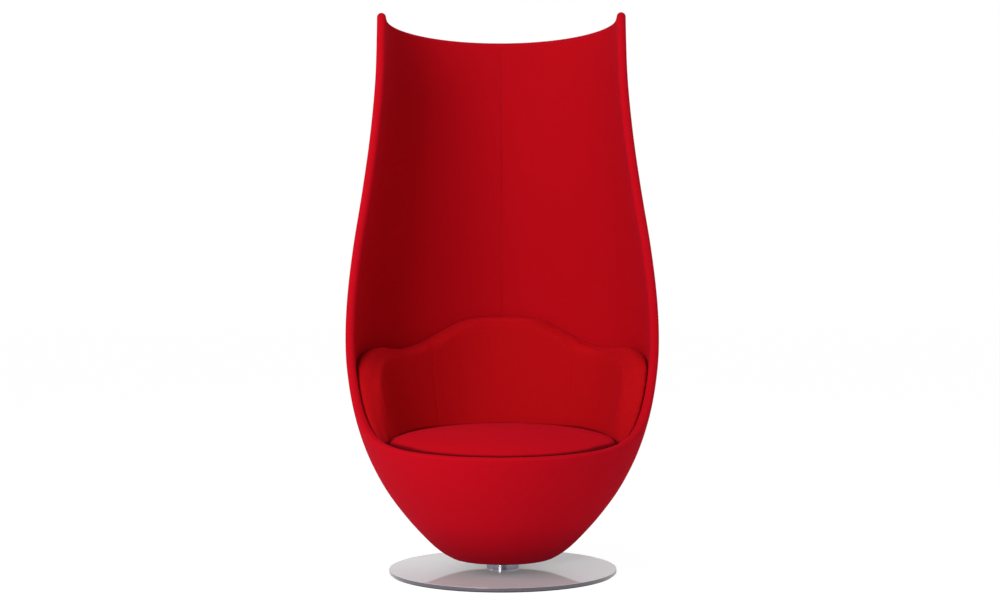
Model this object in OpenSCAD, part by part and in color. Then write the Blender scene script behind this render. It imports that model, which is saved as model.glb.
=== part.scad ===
// Pod chair: a tall upholstered bulb, open at the front and the top, that turns on a short
// steel column over a flat round base. Millimetres, +Z up, the front faces -Y.
// The origin is on the floor, on the axis that the chair turns about.
// Left and right are as seen from the front, so left is -X.

/* [Shell] */
// Height of the wing tips, measured up the leaning shell from the floor
shell_h = 1615; // [1570:1:1660]
// Greatest width of the shell
shell_w = 898; // [870:1:940]
// Lean of the shell back from upright, in degrees
recline = 3.5; // [3:0.1:4]
// Height of the point that the shell leans about
lean_z = 352; // [335:1:365]
// Thickness of the padded outer cover
cover_t = 8; // [6:0.5:10]
// Thickness of the moulded core
core_t = 8; // [6:0.5:10]
// Thickness of the padded lining
lining_t = 9.4; // [8:0.2:11]
// How far the padded roll stands proud of the cut edge
roll_h = 13; // [8:0.5:14]

/* [Base] */
// Diameter of the steel base plate
plate_d = 650; // [560:1:720]
// Thickness of the steel base plate
plate_t = 10; // [8:0.5:14]
// Thickness of the felt under the base plate
pad_t = 3; // [2:0.5:5]
// Distance that the felt stays inside the rim of the plate
pad_inset = 5; // [3:0.5:12]
// Chamfer round the top and bottom rim of the plate
plate_chamfer = 1.5; // [0.5:0.5:3]
// Diameter of the column
column_d = 93; // [88:1:100]
// Height of the column
column_h = 105; // [100:1:112]
// Clear height between the base plate and the underside of the shell
under_gap = 28; // [20:1:32]

/* [Swivel] */
// Diameter of the spindle
spindle_d = 40; // [34:1:44]
// Radial running clearance of the spindle in its bushes
run_gap = 0.05; // [0.03:0.01:0.08]
// Wall of the plain bushes
bush_wall = 4; // [3:0.5:5]
// Length of each plain bush
bush_h = 25; // [18:1:30]
// Thickness of the thrust washer on top of the column
thrust_t = 3; // [2:0.5:4]
// Diameter of the spindle's flange
flange_d = 100; // [92:1:110]
// Thickness of the spindle's flange
flange_t = 8; // [6:0.5:10]
// Thickness of the steel swivel frame
frame_t = 8; // [6:0.5:10]
// Width of each arm of the swivel frame
arm_w = 50; // [40:1:60]
// Distance from the axis to each bolt at the end of an arm
arm_r = 150; // [140:1:156]

/* [Seat] */
// Drop from the front lip to the top of the seat deck
deck_drop = 50; // [40:1:60]
// Thickness of the plywood seat deck
deck_t = 15; // [12:1:18]
// Height of the ring that carries the deck
ledge_h = 20; // [15:1:30]
// Width of the ring that carries the deck
ledge_w = 30; // [24:1:40]
// Height of the seat cushion at its crown, over the deck
seat_h = 130; // [110:1:140]
// Height of the back cushion at the middle, over the deck
back_h = 462; // [420:1:480]
// Thickness of the back and arm cushions
back_t = 75; // [60:1:85]
// Angle from the middle of the back to each vertical seam, in degrees
seam_angle = 38; // [34:1:42]
// Clearance round the loose seat cushion
seat_gap = 1.5; // [1:0.1:2]

/* [Fasteners] */
// Diameter of the machine screws and bolts
bolt_d = 8; // [6:1:8]
// Diameter of the deck's wood screws
wood_screw_d = 4; // [3:0.5:5]
// Number of wood screws that hold the deck
wood_screws = 8; // [6:1:12]

/* [Hidden] */
$fn = 96;
gap = 0.3;        // between glued or stapled soft layers
fit_gap = 0.02;   // radial, round a pressed bush and a screw in its hole
hole_play = 0.5;  // radial, round a bolt in a clearance hole
overrun = 5;      // how far a cutting tool passes its face
cut_lap = 1.5;    // how far the narrow face that cuts the wall passes it on each side

red = "#b80a1a";
dark_red = "#a30916";
steel = "#c9c9cc";
zinc = "#a9adb3";
bronze = "#b08d57";
felt = "#2b2b2d";
birch = "#d8b98a";
moulded = "#3a3a3c";
nylon = "#e8e6df";

// The outside of the shell, from the bottom up: shares of shell_h and of half of shell_w
outline_shares = [[0.0147, 0], [0.0177, 0.178], [0.0236, 0.292], [0.0406, 0.401], [0.0655, 0.499],
  [0.1033, 0.622], [0.153, 0.752], [0.215, 0.865], [0.2825, 0.943], [0.3525, 0.987],
  [0.414, 1], [0.488, 0.989], [0.5755, 0.953], [0.674, 0.897], [0.774, 0.848],
  [0.8735, 0.8155], [0.960, 0.806], [1.035, 0.804]];
// The rim of the opening: degrees round from the front, and shares of shell_h
rim_shares = [[0, 0.2115], [20, 0.2135], [40, 0.2195], [54, 0.2285], [63, 0.2395], [70, 0.2543],
  [75.5, 0.2762], [79.5, 0.308], [81.5, 0.3505], [81.9, 0.412], [82, 0.512], [82.1, 0.623],
  [82.2, 0.747], [82.3, 0.8715], [82.5, 0.958], [83.6, 0.9915], [87, 1], [92, 0.9985],
  [98, 0.9955], [110, 0.9945], [135, 0.9946], [180, 0.995]];
// The top of the back and arm cushions: degrees round from the back, and shares of back_h
back_top_shares = [[0, 1], [15, 0.985], [25, 0.922], [38, 0.82], [49, 0.777], [60, 0.779],
  [70, 0.782], [80, 0.757], [87, 0.718], [91, 0.685], [94.5, 0.630], [96.5, 0.560],
  [98.2, 0.477], [100.5, 0.385], [104, 0.308], [108, 0.250], [113, 0.202], [117, 0.172]];
// The thickness of the same cushions: degrees round from the back, and shares of back_t
back_thick_shares = [[0, 1], [60, 0.985], [80, 0.93], [90, 0.87], [95, 0.78], [100, 0.66],
  [104.5, 0.53], [110, 0.35], [114, 0.2], [117, 0.08], [119, 0], [180, 0]];
// Their sections: shares of the height, then of the depth in front and behind, for the back and
// then for the arms, whose outer edge is rounded over
section_shares = [[0, 0.9, 0, 0.9, 0], [0.1, 0.97, 0, 0.97, 0], [0.25, 1, 0, 1, 0], [0.45, 1, 0, 1, 0],
  [0.63, 0.98, 0, 1, 0], [0.78, 0.96, 0, 0.98, 0], [0.88, 0.91, 0, 0.95, 0.06],
  [0.95, 0.8, 0.02, 0.87, 0.25], [0.985, 0.64, 0.1, 0.77, 0.43], [1, 0.42, 0.25, 0.66, 0.58]];
arm_angles = [[45, 0], [75, 1]];   // from the one form to the other, in degrees round from the back
// The seam of the seat cushion: degrees round from the front, and shares of seat_h
seat_seam_shares = [[0, 0.35], [20, 0.37], [40, 0.45], [54, 0.55], [63, 0.66], [75, 0.75],
  [90, 0.79], [120, 0.81], [180, 0.81]];
// The rings of the seat cushion under its seam: shares of the seam's height and of the plan
seat_side_shares = [[0, 0.97], [0.3, 0.995], [0.75, 1], [1, 0.985]];
// The rings of its crown, from the seam in: shares of the plan
seat_crown_shares = [0.93, 0.82, 0.65, 0.45, 0.22];
crown_power = 2.4;

outline = [for (s = curve(outline_shares, 3)) [s[0] * shell_h, max(0, s[1]) * shell_w / 2]];
rim_half = [for (s = curve(rim_shares, 3)) [s[0], s[1] * shell_h]];
rim = concat(rim_half, [for (i = [len(rim_half) - 2:-1:1]) [360 - rim_half[i][0], rim_half[i][1]]]);

core_in = cover_t + gap;
lining_in = core_in + core_t + gap;
wall_t = lining_in + lining_t;
cover_line = inset(outline, cover_t);
core_line = inset(outline, core_in);
hollow_line = inset(outline, core_in + core_t);
lining_line = inset(outline, lining_in);
mid_line = inset(outline, wall_t / 2);
inner_line = inset(outline, wall_t);
cushion_line = inset(outline, wall_t + gap);

lip_z = rim_shares[0][1] * shell_h;
deck_z = lip_z - deck_drop;
plate_top = pad_t + plate_t;
shell_z = plate_top + under_gap;
core_floor_z = shell_z + cover_t + gap;
core_floor_t = 1.4 * core_t;
column_top = plate_top + column_h;
bush_r = spindle_d / 2 + run_gap + bush_wall;
bore_r = bush_r + fit_gap;
counterbore_r = spindle_d * 0.75;
counterbore_h = spindle_d * 0.4;
retainer_play = 2;
retainer_r = counterbore_r - retainer_play;
retainer_t = counterbore_h * 0.3;
flange_z = column_top + thrust_t;
frame_z = flange_z + flange_t;
boss_r = arm_w * 0.52;
collar_wall = 4;
collar_play = 1.5;
hole_r = column_d / 2 + collar_play + collar_wall + gap;
column_screw_r = (column_d / 2 + counterbore_r) / 2;
flange_screw_r = flange_d * 0.4;
wood_screw_len = deck_t + ledge_h * 0.7;
screw_head = 2;      // diameter of a screw's head as a multiple of its shank's
screw_len = 22;      // length of the screws through the base plate and the frame
bolt_len = 40;
ledge_mid_r = radius(deck_z - deck_t, hollow_line) - gap - ledge_w / 2;

function unit(v) = v / norm(v);
function catmull(a, b, c, d, t) = 0.5 * (2 * b + (c - a) * t + (2 * a - 5 * b + 4 * c - d) * t * t
  + (3 * b - a - 3 * c + d) * t * t * t);
// A smooth curve through the points p, with n steps from each to the next
function curve(p, n) =
  let (e = concat([2 * p[0] - p[1]], p, [2 * p[len(p) - 1] - p[len(p) - 2]]))
  concat([for (i = [1:len(p) - 1], k = [0:n - 1]) catmull(e[i - 1], e[i], e[i + 1], e[i + 2], k / n)],
    [p[len(p) - 1]]);
// The line of [height, radius] points moved in by d, square to itself
function inset(line, d) = [for (i = [0:len(line) - 1])
  let (t = unit(line[min(len(line) - 1, i + 1)] - line[max(0, i - 1)]))
  [line[i][0] + d * t[1], max(0, line[i][1] - d * t[0])]];
function radius(z, line) = lookup(z, line);
function above(line, z) = concat([[z, radius(z, line)]], [for (p = line) if (p[0] > z + gap) p]);
function flat(line) = [for (p = line) [p[1], p[0]]];
function turned(line) = [for (i = [len(line) - 1:-1:0]) line[i]];
function at(a, r, z) = [r * sin(a), -r * cos(a), z];

// The way that the rim faces at point i, lying in the wall and square to the rim
function rim_way(i) =
  let (n = len(rim), p = rim[(i + n - 1) % n], q = rim[(i + 1) % n], z = rim[i][1],
    run = at(q[0], radius(q[1], mid_line), q[1]) - at(p[0], radius(p[1], mid_line), p[1]),
    slope = (radius(z + gap, mid_line) - radius(z - gap, mid_line)) / (2 * gap),
    out = unit(at(rim[i][0], 1, -slope)))
  unit(cross(out, run));
rim_ways = [for (i = [0:len(rim) - 1]) rim_way(i)];
// The cut edge of the wall lies roll_h behind the rim: [degrees, height] again
cut_edge = [for (i = [0:len(rim) - 1])
  let (p = at(rim[i][0], radius(rim[i][1], mid_line), rim[i][1]) - roll_h * rim_ways[i])
  [atan2(p[0], -p[1]), p[2]]];

// Triangles between ring i and the next of n rings of k points, all the way round or not
function skin(n, k, closed) = [for (i = [0:n - (closed ? 1 : 2)], j = [0:k - 1])
  let (a = i * k, b = ((i + 1) % n) * k, m = (j + 1) % k)
  each [[a + j, b + m, b + j], [a + j, a + m, b + m]]];

module reclined() {
  translate([0, 0, lean_z]) rotate([-recline, 0, 0]) translate([0, 0, -lean_z]) children();
}
// The solid inside a line, carried straight up at its top by the length more
module bulb(line, more = 0) {
  top = line[len(line) - 1];
  rotate_extrude() polygon(concat(flat(line), [[top[1], top[0] + more], [0, top[0] + more]]));
}
module over(z) {
  translate([-shell_w, -shell_w, z]) cube([2 * shell_w, 2 * shell_w, 2 * shell_h]);
}
module under(z) {
  translate([-shell_w, -shell_w, z - shell_h]) cube([2 * shell_w, 2 * shell_w, shell_h]);
}
// All that the opening takes away: from the cut edge up, as a ring round the axis
module opening() {
  near = shell_w * 0.1;
  far = shell_w * 0.8;
  top = shell_h * 1.1;
  polyhedron([for (c = cut_edge)
    let (edge = [near, radius(c[1], inner_line) - cut_lap, radius(c[1], outline) + cut_lap, far])
    each concat([for (r = edge) at(c[0], r, c[1])], [at(c[0], far, top), at(c[0], near, top)])],
    skin(len(cut_edge), 6, true));
}
module around(n, r, start = 0) {
  for (i = [0:n - 1]) rotate([0, 0, start + i * 360 / n]) translate([r, 0, 0]) children();
}
// A countersunk screw with its head's face at zero and its shank running up
module countersunk(d, len) {
  head_r = d * screw_head / 2;
  cylinder(h = head_r - d / 2, r1 = head_r, r2 = d / 2);
  cylinder(h = len, r = d / 2);
}

module floor_pad() {
  color(felt) cylinder(h = pad_t, r = plate_d / 2 - pad_inset);
}
module base_plate() {
  r = plate_d / 2;
  c = plate_chamfer;
  color(steel) difference() {
    translate([0, 0, pad_t]) rotate_extrude()
      polygon([[0, 0], [r - c, 0], [r, c], [r, plate_t - c], [r - c, plate_t], [0, plate_t]]);
    around(4, column_screw_r, 45) translate([0, 0, pad_t])
      countersunk(bolt_d + 2 * hole_play, screw_len);
  }
}
module column() {
  r = column_d / 2;
  c = plate_chamfer;
  color(steel) difference() {
    translate([0, 0, plate_top]) rotate_extrude()
      polygon([[0, 0], [r, 0], [r, column_h - c], [r - c, column_h], [0, column_h]]);
    translate([0, 0, plate_top - overrun]) cylinder(h = column_h + 2 * overrun, r = bore_r);
    translate([0, 0, plate_top - overrun]) cylinder(h = counterbore_h + overrun, r = counterbore_r);
    around(4, column_screw_r, 45) translate([0, 0, pad_t])
      cylinder(h = screw_len + gap, r = bolt_d / 2 + fit_gap);
  }
}
module column_screws() {
  color(zinc) around(4, column_screw_r, 45) translate([0, 0, pad_t + gap]) countersunk(bolt_d, screw_len);
}
module bush(z) {
  color(bronze) translate([0, 0, z]) difference() {
    cylinder(h = bush_h, r = bush_r);
    translate([0, 0, -overrun]) cylinder(h = bush_h + 2 * overrun, r = spindle_d / 2 + run_gap);
  }
}
module lower_bush() {
  bush(plate_top + counterbore_h);
}
module upper_bush() {
  bush(column_top - bush_h);
}
module thrust_washer() {
  color(nylon) translate([0, 0, column_top]) difference() {
    cylinder(h = thrust_t, r = column_d / 2 - plate_chamfer);
    translate([0, 0, -overrun]) cylinder(h = thrust_t + 2 * overrun, r = spindle_d / 2 + hole_play);
  }
}

spindle_z = plate_top + counterbore_h;   // its lower face, level with the lower bush
module spindle() {
  color(zinc) difference() {
    union() {
      translate([0, 0, spindle_z]) cylinder(h = flange_z - spindle_z + flange_t, r = spindle_d / 2);
      translate([0, 0, flange_z]) cylinder(h = flange_t, r = flange_d / 2);
    }
    translate([0, 0, spindle_z - overrun]) cylinder(h = screw_len + overrun, r = bolt_d / 2 + fit_gap);
    around(4, flange_screw_r) translate([0, 0, flange_z - overrun])
      cylinder(h = flange_t + 2 * overrun, r = bolt_d / 2 + fit_gap);
  }
}
module flange_screws() {
  color(zinc) around(4, flange_screw_r) translate([0, 0, frame_z + frame_t]) mirror([0, 0, 1])
    countersunk(bolt_d, frame_t + flange_t - gap);
}
module spindle_retainer() {
  color(zinc) translate([0, 0, spindle_z - retainer_t - run_gap]) difference() {
    cylinder(h = retainer_t, r = retainer_r);
    translate([0, 0, -overrun]) cylinder(h = retainer_t + 2 * overrun, r = bolt_d / 2 + hole_play);
  }
}
module retainer_screw() {
  under = spindle_z - retainer_t - run_gap;
  color(zinc) {
    translate([0, 0, under - bolt_d * 0.6]) cylinder(h = bolt_d * 0.6, r = bolt_d * 0.9, $fn = 6);
    translate([0, 0, under - gap]) cylinder(h = screw_len, r = bolt_d / 2);
  }
}
module swivel_frame() {
  color(moulded) translate([0, 0, frame_z]) difference() {
    union() {
      cylinder(h = frame_t, r = flange_d / 2);
      for (a = [45, 135]) rotate([0, 0, a]) {
        translate([-arm_r, -arm_w / 2, 0]) cube([2 * arm_r, arm_w, frame_t]);
        for (side = [-1, 1]) translate([side * arm_r, 0, 0]) cylinder(h = frame_t, r = arm_w / 2);
      }
    }
    around(4, arm_r, 45) translate([0, 0, -overrun])
      cylinder(h = frame_t + 2 * overrun, r = bolt_d / 2 + hole_play);
    around(4, flange_screw_r) translate([0, 0, frame_t]) mirror([0, 0, 1])
      countersunk(bolt_d + 2 * fit_gap, frame_t + overrun);
  }
}
washer_t = 1.6;
module frame_washers() {
  color(zinc) around(4, arm_r, 45) translate([0, 0, frame_z + frame_t]) difference() {
    cylinder(h = washer_t, r = bolt_d * 1.1);
    translate([0, 0, -overrun]) cylinder(h = washer_t + 2 * overrun, r = bolt_d / 2 + hole_play);
  }
}
module frame_bolts() {
  head_z = frame_z + frame_t + washer_t;
  color(zinc) around(4, arm_r, 45) {
    translate([0, 0, head_z]) cylinder(h = bolt_d * 0.65, r = bolt_d * 0.9, $fn = 6);
    translate([0, 0, head_z + gap - bolt_len]) cylinder(h = bolt_len, r = bolt_d / 2);
  }
}

// The moulded core: a bulb with a level floor, and four bosses that stand up to the frame
module shell_core() {
  color(moulded) difference() {
    reclined() bulb(core_line, gap);
    difference() {
      intersection() {
        reclined() bulb(hollow_line, overrun);
        over(core_floor_z + core_floor_t);
      }
      around(4, arm_r, 45) cylinder(h = frame_z, r = boss_r);
    }
    reclined() opening();
    under(core_floor_z);
    cylinder(h = frame_z, r = hole_r);
    around(4, arm_r, 45) translate([0, 0, frame_z + frame_t + washer_t - bolt_len])
      cylinder(h = bolt_len, r = bolt_d / 2 + fit_gap);
  }
}
module outer_cover() {
  color(red) difference() {
    reclined() bulb(outline, gap);
    intersection() {
      reclined() bulb(cover_line, overrun);
      over(shell_z + cover_t);
    }
    reclined() opening();
    under(shell_z);
    cylinder(h = frame_z, r = hole_r);
  }
}
// Half of the lining, from the deck up, on the side that starts at angle a
module lining(a) {
  from_z = deck_z + gap;
  outside = above(lining_line, from_z);
  inside = above(inner_line, from_z);
  seam = asin(gap / radius(deck_z, inner_line));
  reclined() difference() {
    rotate([0, 0, a + seam / 2]) rotate_extrude(angle = 180 - seam, start = 0)
      polygon(concat(flat(outside), flat(turned(inside))));
    opening();
  }
}
module lining_left() {
  color(dark_red) lining(90);
}
module lining_right() {
  color(dark_red) lining(-90);
}
roll_steps = 8;
module edge_roll() {
  color(red) reclined() polyhedron([for (i = [0:len(rim) - 1])
    let (c = cut_edge[i], r1 = radius(c[1], outline), r2 = radius(c[1], inner_line),
      mid = (r1 + r2) / 2, half = (r1 - r2) / 2)
    for (j = [0:roll_steps])
      let (f = 180 * j / roll_steps)
      at(c[0], mid + half * cos(f), c[1]) + (gap + (roll_h - gap) * sin(f)) * rim_ways[i]],
    skin(len(rim), roll_steps + 1, true));
}
module hole_collar() {
  r = column_d / 2 + collar_play;
  rise = core_floor_z + core_floor_t + gap;
  color(moulded) difference() {
    union() {
      translate([0, 0, shell_z]) cylinder(h = rise - shell_z, r = r + collar_wall);
      translate([0, 0, rise]) cylinder(h = collar_wall / 2, r = r + 2 * collar_wall);
    }
    translate([0, 0, shell_z - overrun]) cylinder(h = rise + overrun, r = r);
  }
}
// A flat ring or disc that follows the inside of the core between two heights
module fitted_disc(z, h) {
  translate([0, 0, z]) cylinder(h = h, r1 = radius(z, hollow_line) - gap, r2 = radius(z + h, hollow_line) - gap);
}
module screw_places() {
  reclined() translate([0, 0, deck_z]) around(wood_screws, ledge_mid_r, 180 / wood_screws)
    mirror([0, 0, 1]) children();
}
module deck_ledge() {
  color(birch) difference() {
    reclined() fitted_disc(deck_z - deck_t - ledge_h, ledge_h);
    reclined() translate([0, 0, deck_z - deck_t - ledge_h - overrun])
      cylinder(h = ledge_h + 2 * overrun, r = ledge_mid_r - ledge_w / 2);
    screw_places() cylinder(h = wood_screw_len + gap, r = wood_screw_d / 2 + fit_gap);
  }
}
vent_d = 30;
vent_r = 120;
module seat_deck() {
  color(birch) difference() {
    reclined() fitted_disc(deck_z - deck_t, deck_t);
    reclined() around(6, vent_r) translate([0, 0, deck_z - deck_t - overrun])
      cylinder(h = deck_t + 2 * overrun, r = vent_d / 2);
    screw_places() countersunk(wood_screw_d + 2 * fit_gap, wood_screw_len);
  }
}
module deck_screws() {
  color(zinc) screw_places() countersunk(wood_screw_d, wood_screw_len);
}

// A wall cushion from angle a to angle b, both round from the back and positive to the right.
// Its sections stand on the deck, lean on the lining and thin out towards the two seams.
module wall_cushion(a, b, steps) {
  low = deck_z + gap;
  rows = len(section_shares);
  sections = [for (i = [0:steps])
    let (t = i / steps, turn = a + (b - a) * t, side = abs(turn),
      top = low + (back_h - gap) * lookup(side, smooth_top),
      thick = back_t * lookup(side, back_thick_shares) * (0.9 + 0.1 * pow(sin(180 * t), 0.5)),
      arm = lookup(side, arm_angles))
    concat(
      [for (s = section_shares) let (z = low + (top - low) * s[0])
        at(180 - turn, radius(z, cushion_line) - thick * (s[1] + (s[3] - s[1]) * arm), z)],
      [for (s = turned(section_shares)) let (z = low + (top - low) * s[0])
        at(180 - turn, radius(z, cushion_line) - thick * (s[2] + (s[4] - s[2]) * arm), z)])];
  k = 2 * rows;
  last = steps * k;
  end = [for (j = [0:rows - 2]) each [[j, k - 2 - j, j + 1], [j, k - 1 - j, k - 2 - j]]];
  reclined() polyhedron([for (s = sections) each s], concat(skin(steps + 1, k, false),
    end, [for (f = end) [last + f[0], last + f[2], last + f[1]]]));
}
smooth_top = curve(back_top_shares, 3);
seam_split = gap / (radius(deck_z, inner_line) - back_t) * 180 / PI;
front_a = back_top_shares[len(back_top_shares) - 1][0];
module back_cushion() {
  color(red) wall_cushion(-seam_angle + seam_split / 2, seam_angle - seam_split / 2, 12);
}
module arm_cushion_left() {
  color(red) wall_cushion(-front_a, -seam_angle - seam_split / 2, 26);
}
module arm_cushion_right() {
  color(red) wall_cushion(seam_angle + seam_split / 2, front_a, 26);
}

// The loose seat cushion: its plan follows the front lip and the feet of the wall cushions
module seat_cushion() {
  turns = 60;
  low = deck_z + gap;
  rise = seat_h - gap;
  function reach(a, z) = radius(z, cushion_line) - seat_gap - back_t * lookup(abs(180 - a), back_thick_shares);
  function seam_z(a) = low + rise * lookup(180 - abs(180 - a), seat_seam_shares);
  angles = [for (i = [turns:-1:1]) i * 360 / turns];
  sides = [for (s = seat_side_shares, a = angles) let (z = low + (seam_z(a) - low) * s[0])
    at(a, reach(a, z) * s[1], z)];
  crown = [for (c = seat_crown_shares, a = angles)
    at(a, reach(a, seam_z(a)) * c, low + rise - (low + rise - seam_z(a)) * pow(c, crown_power))];
  rings = len(seat_side_shares) + len(seat_crown_shares);
  foot = rings * turns;
  tip = foot + 1;
  last = (rings - 1) * turns;
  color(red) reclined() polyhedron(concat(sides, crown, [[0, 0, low], [0, 0, low + rise]]),
    concat(skin(rings, turns, false),
      [for (j = [0:turns - 1]) let (m = (j + 1) % turns) each [[foot, m, j], [tip, last + j, last + m]]]));
}

floor_pad();
base_plate();
column();
column_screws();
lower_bush();
upper_bush();
thrust_washer();
spindle();
flange_screws();
spindle_retainer();
retainer_screw();
swivel_frame();
frame_bolts();
frame_washers();
shell_core();
outer_cover();
lining_left();
lining_right();
edge_roll();
hole_collar();
deck_ledge();
seat_deck();
deck_screws();
back_cushion();
arm_cushion_left();
arm_cushion_right();
seat_cushion();
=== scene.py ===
"""Pod chair: a tall red upholstered bulb that turns on a short steel column over a flat base.
Metres, +Z up, the front faces -Y; left is -X, as seen from the front."""

import math

import bpy
import numpy as np
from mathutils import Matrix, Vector


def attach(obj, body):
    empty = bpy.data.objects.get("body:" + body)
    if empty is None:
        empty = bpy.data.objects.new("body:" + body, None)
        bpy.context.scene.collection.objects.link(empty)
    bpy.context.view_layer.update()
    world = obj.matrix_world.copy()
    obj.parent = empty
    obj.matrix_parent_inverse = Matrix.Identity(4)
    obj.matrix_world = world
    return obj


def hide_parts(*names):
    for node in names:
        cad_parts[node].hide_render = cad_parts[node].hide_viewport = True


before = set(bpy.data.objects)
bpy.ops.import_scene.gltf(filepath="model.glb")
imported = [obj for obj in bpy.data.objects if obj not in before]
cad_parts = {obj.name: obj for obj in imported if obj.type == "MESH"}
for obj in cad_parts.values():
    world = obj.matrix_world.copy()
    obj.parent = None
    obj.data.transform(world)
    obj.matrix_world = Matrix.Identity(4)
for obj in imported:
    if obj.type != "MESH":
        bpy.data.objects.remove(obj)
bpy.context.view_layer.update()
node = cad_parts

# The camera stands four and a half metres in front of the chair and looks straight at it,
# level, from the height of a sitter's chest.
bpy.ops.object.camera_add(location=(-0.006, -4.505, 0.779),
                          rotation=(math.radians(90), math.radians(0.15), 0))
camera = bpy.context.object
camera.data.sensor_width = 36
camera.data.lens = 56.6
bpy.context.scene.camera = camera
bpy.context.scene.view_settings.view_transform = "Standard"


# The felt pad under the base plate: pressed dark grey wool felt, die cut, 3 mm thick and glued on.
# It keeps its CAD disc.
def colour(code):
    """A #rrggbb colour as the shader's linear one."""
    parts = [int(code[i : i + 2], 16) / 255 for i in (1, 3, 5)]
    return [c / 12.92 if c <= 0.04045 else ((c + 0.055) / 1.055) ** 2.4 for c in parts] + [1.0]


def add(tree, kind, inputs=None, **own):
    """Adds a node, sets its own properties, and fills its inputs with values or with links."""
    made = tree.nodes.new(kind)
    for key, value in own.items():
        setattr(made, key, value)
    for key, value in (inputs or {}).items():
        if isinstance(value, bpy.types.NodeSocket):
            tree.links.new(value, made.inputs[key])
        else:
            made.inputs[key].default_value = value
    return made.outputs


def finish(name, **settings):
    """A material of that name with its shader's sockets set, its node tree and its coordinates."""
    made = bpy.data.materials.new(name)
    made.use_nodes = True
    shader = made.node_tree.nodes["Principled BSDF"]
    for key, value in settings.items():
        shader.inputs[key.replace("_", " ")].default_value = value
    return made, made.node_tree, shader, add(made.node_tree, "ShaderNodeTexCoord")["Object"]


def between(tree, share, low, high):
    """The colour between two by the share. Each of them is a #rrggbb code or a link."""
    low, high = (colour(end) if isinstance(end, str) else end for end in (low, high))
    return add(tree, "ShaderNodeMix", {"Factor": share, 6: low, 7: high}, data_type="RGBA")[2]


def grained(tree, shader, height, distance, strength):
    """Roughens the surface with the height, whose whole range is worth the distance in metres."""
    bump = add(tree, "ShaderNodeBump", {"Height": height, "Distance": distance, "Strength": strength})
    tree.links.new(bump["Normal"], shader.inputs["Normal"])


def dress(material, *names):
    """Gives these CAD nodes the material."""
    for name in names:
        mesh = node[name].data
        mesh.materials.clear()
        mesh.materials.append(material)


# Pressed felt: matt, its fibres mottled light and dark over about 2 mm
felt, tree, shader, place = finish("pressed_wool_felt", Roughness=0.95, Specular_IOR_Level=0.15)
fibres = add(tree, "ShaderNodeTexNoise", {"Vector": place, "Scale": 500.0, "Detail": 5.0})
tree.links.new(between(tree, fibres["Fac"], "#1d1d20", "#3a3a3e"), shader.inputs["Base Color"])
grained(tree, shader, fibres["Fac"], distance=0.0006, strength=0.6)
dress(felt, "floor_pad")


# The base plate: a disc of stainless steel 650 mm wide and 10 mm thick, laser cut, its rims
# chamfered, its top lapped and then satin finished, so that it mirrors softly.
def select_none():
    bpy.ops.object.select_all(action="DESELECT")


def settle(piece, name, material, body):
    """Names a finished piece, puts its place into its mesh and hangs it on its body."""
    select_none()
    piece.select_set(True)
    bpy.context.view_layer.objects.active = piece
    bpy.ops.object.transform_apply(location=True, rotation=True, scale=True)
    piece.name = name
    piece.data.name = name
    piece.data.materials.clear()
    piece.data.materials.append(material)
    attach(piece, body)
    return piece


def rim_edges(mesh, heights):
    """Selects the edges that lie round a disc's rims at these heights."""
    for edge in mesh.edges:
        a, b = (mesh.vertices[i].co for i in edge.vertices)
        level = abs(a.z - b.z) < 1e-6 and any(abs(a.z - z) < 1e-5 for z in heights)
        edge.select = level and a.xy.length > 0.001 and b.xy.length > 0.001


def bevelled_disc(radius, low, high, chamfer, steps):
    """A disc between two heights, with its rims rounded off."""
    select_none()
    bpy.ops.mesh.primitive_cylinder_add(vertices=288, radius=radius, depth=high - low,
                                        location=(0, 0, (low + high) / 2))
    piece = bpy.context.object
    bpy.ops.object.transform_apply(location=True)
    bpy.ops.object.mode_set(mode="EDIT")
    bpy.ops.mesh.select_mode(type="EDGE")
    bpy.ops.mesh.select_all(action="DESELECT")
    bpy.ops.object.mode_set(mode="OBJECT")
    rim_edges(piece.data, (low, high))
    bpy.ops.object.mode_set(mode="EDIT")
    bpy.ops.mesh.bevel(offset=chamfer, segments=steps, affect="EDGES")
    bpy.ops.object.mode_set(mode="OBJECT")
    bpy.ops.object.shade_smooth_by_angle(angle=math.radians(25))
    return piece


# Satin stainless steel under clear lacquer: a pale grey metal with fine grinding marks, which blurs
# what it mirrors, and the thin lacquer, which mirrors it once more, sharp and faint. It is drawn
# part metal and part pale coat, because a pure metal would turn red under the shell, and its sheen
# is the haze that the grinding leaves. There are faint clouds where hands and cloths have passed,
# and the rim's side is painted dark, a painted shade for the little light that reaches it.
plate_r = 0.325
plate_low = 0.003
plate_top = 0.013
plate_chamfer = 0.0015
rim_top = 0.0121
satin, tree, shader, place = finish("satin_stainless_steel", Metallic=0.28, Roughness=0.5,
                                    Coat_Weight=0.9, Coat_Roughness=0.04, Sheen_Weight=1.0,
                                    Sheen_Roughness=0.35)
clouds = add(tree, "ShaderNodeTexNoise", {"Vector": place, "Scale": 9.0, "Detail": 3.0})
tone = between(tree, clouds["Fac"], "#bcbec6", "#c8cad2")
height = add(tree, "ShaderNodeSeparateXYZ", {"Vector": place})
# The rim's side below rim_top is painted dark: painted shade.
rim_painted_shade = add(tree, "ShaderNodeMath", {0: height["Z"], 1: rim_top}, operation="LESS_THAN")
tree.links.new(between(tree, rim_painted_shade[0], tone, "#544d58"), shader.inputs["Base Color"])
rub = add(tree, "ShaderNodeMapRange", {"Value": clouds["Fac"], "To Min": 0.46, "To Max": 0.54})
tree.links.new(rub["Result"], shader.inputs["Roughness"])
grain = add(tree, "ShaderNodeTexNoise", {"Vector": place, "Scale": 1500.0, "Detail": 2.0})
grained(tree, shader, grain["Fac"], distance=0.00004, strength=0.4)

base = bevelled_disc(plate_r, plate_low, plate_top, plate_chamfer, steps=3)
settle(base, "base_disc", satin, "base")
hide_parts("base_plate")

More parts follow.
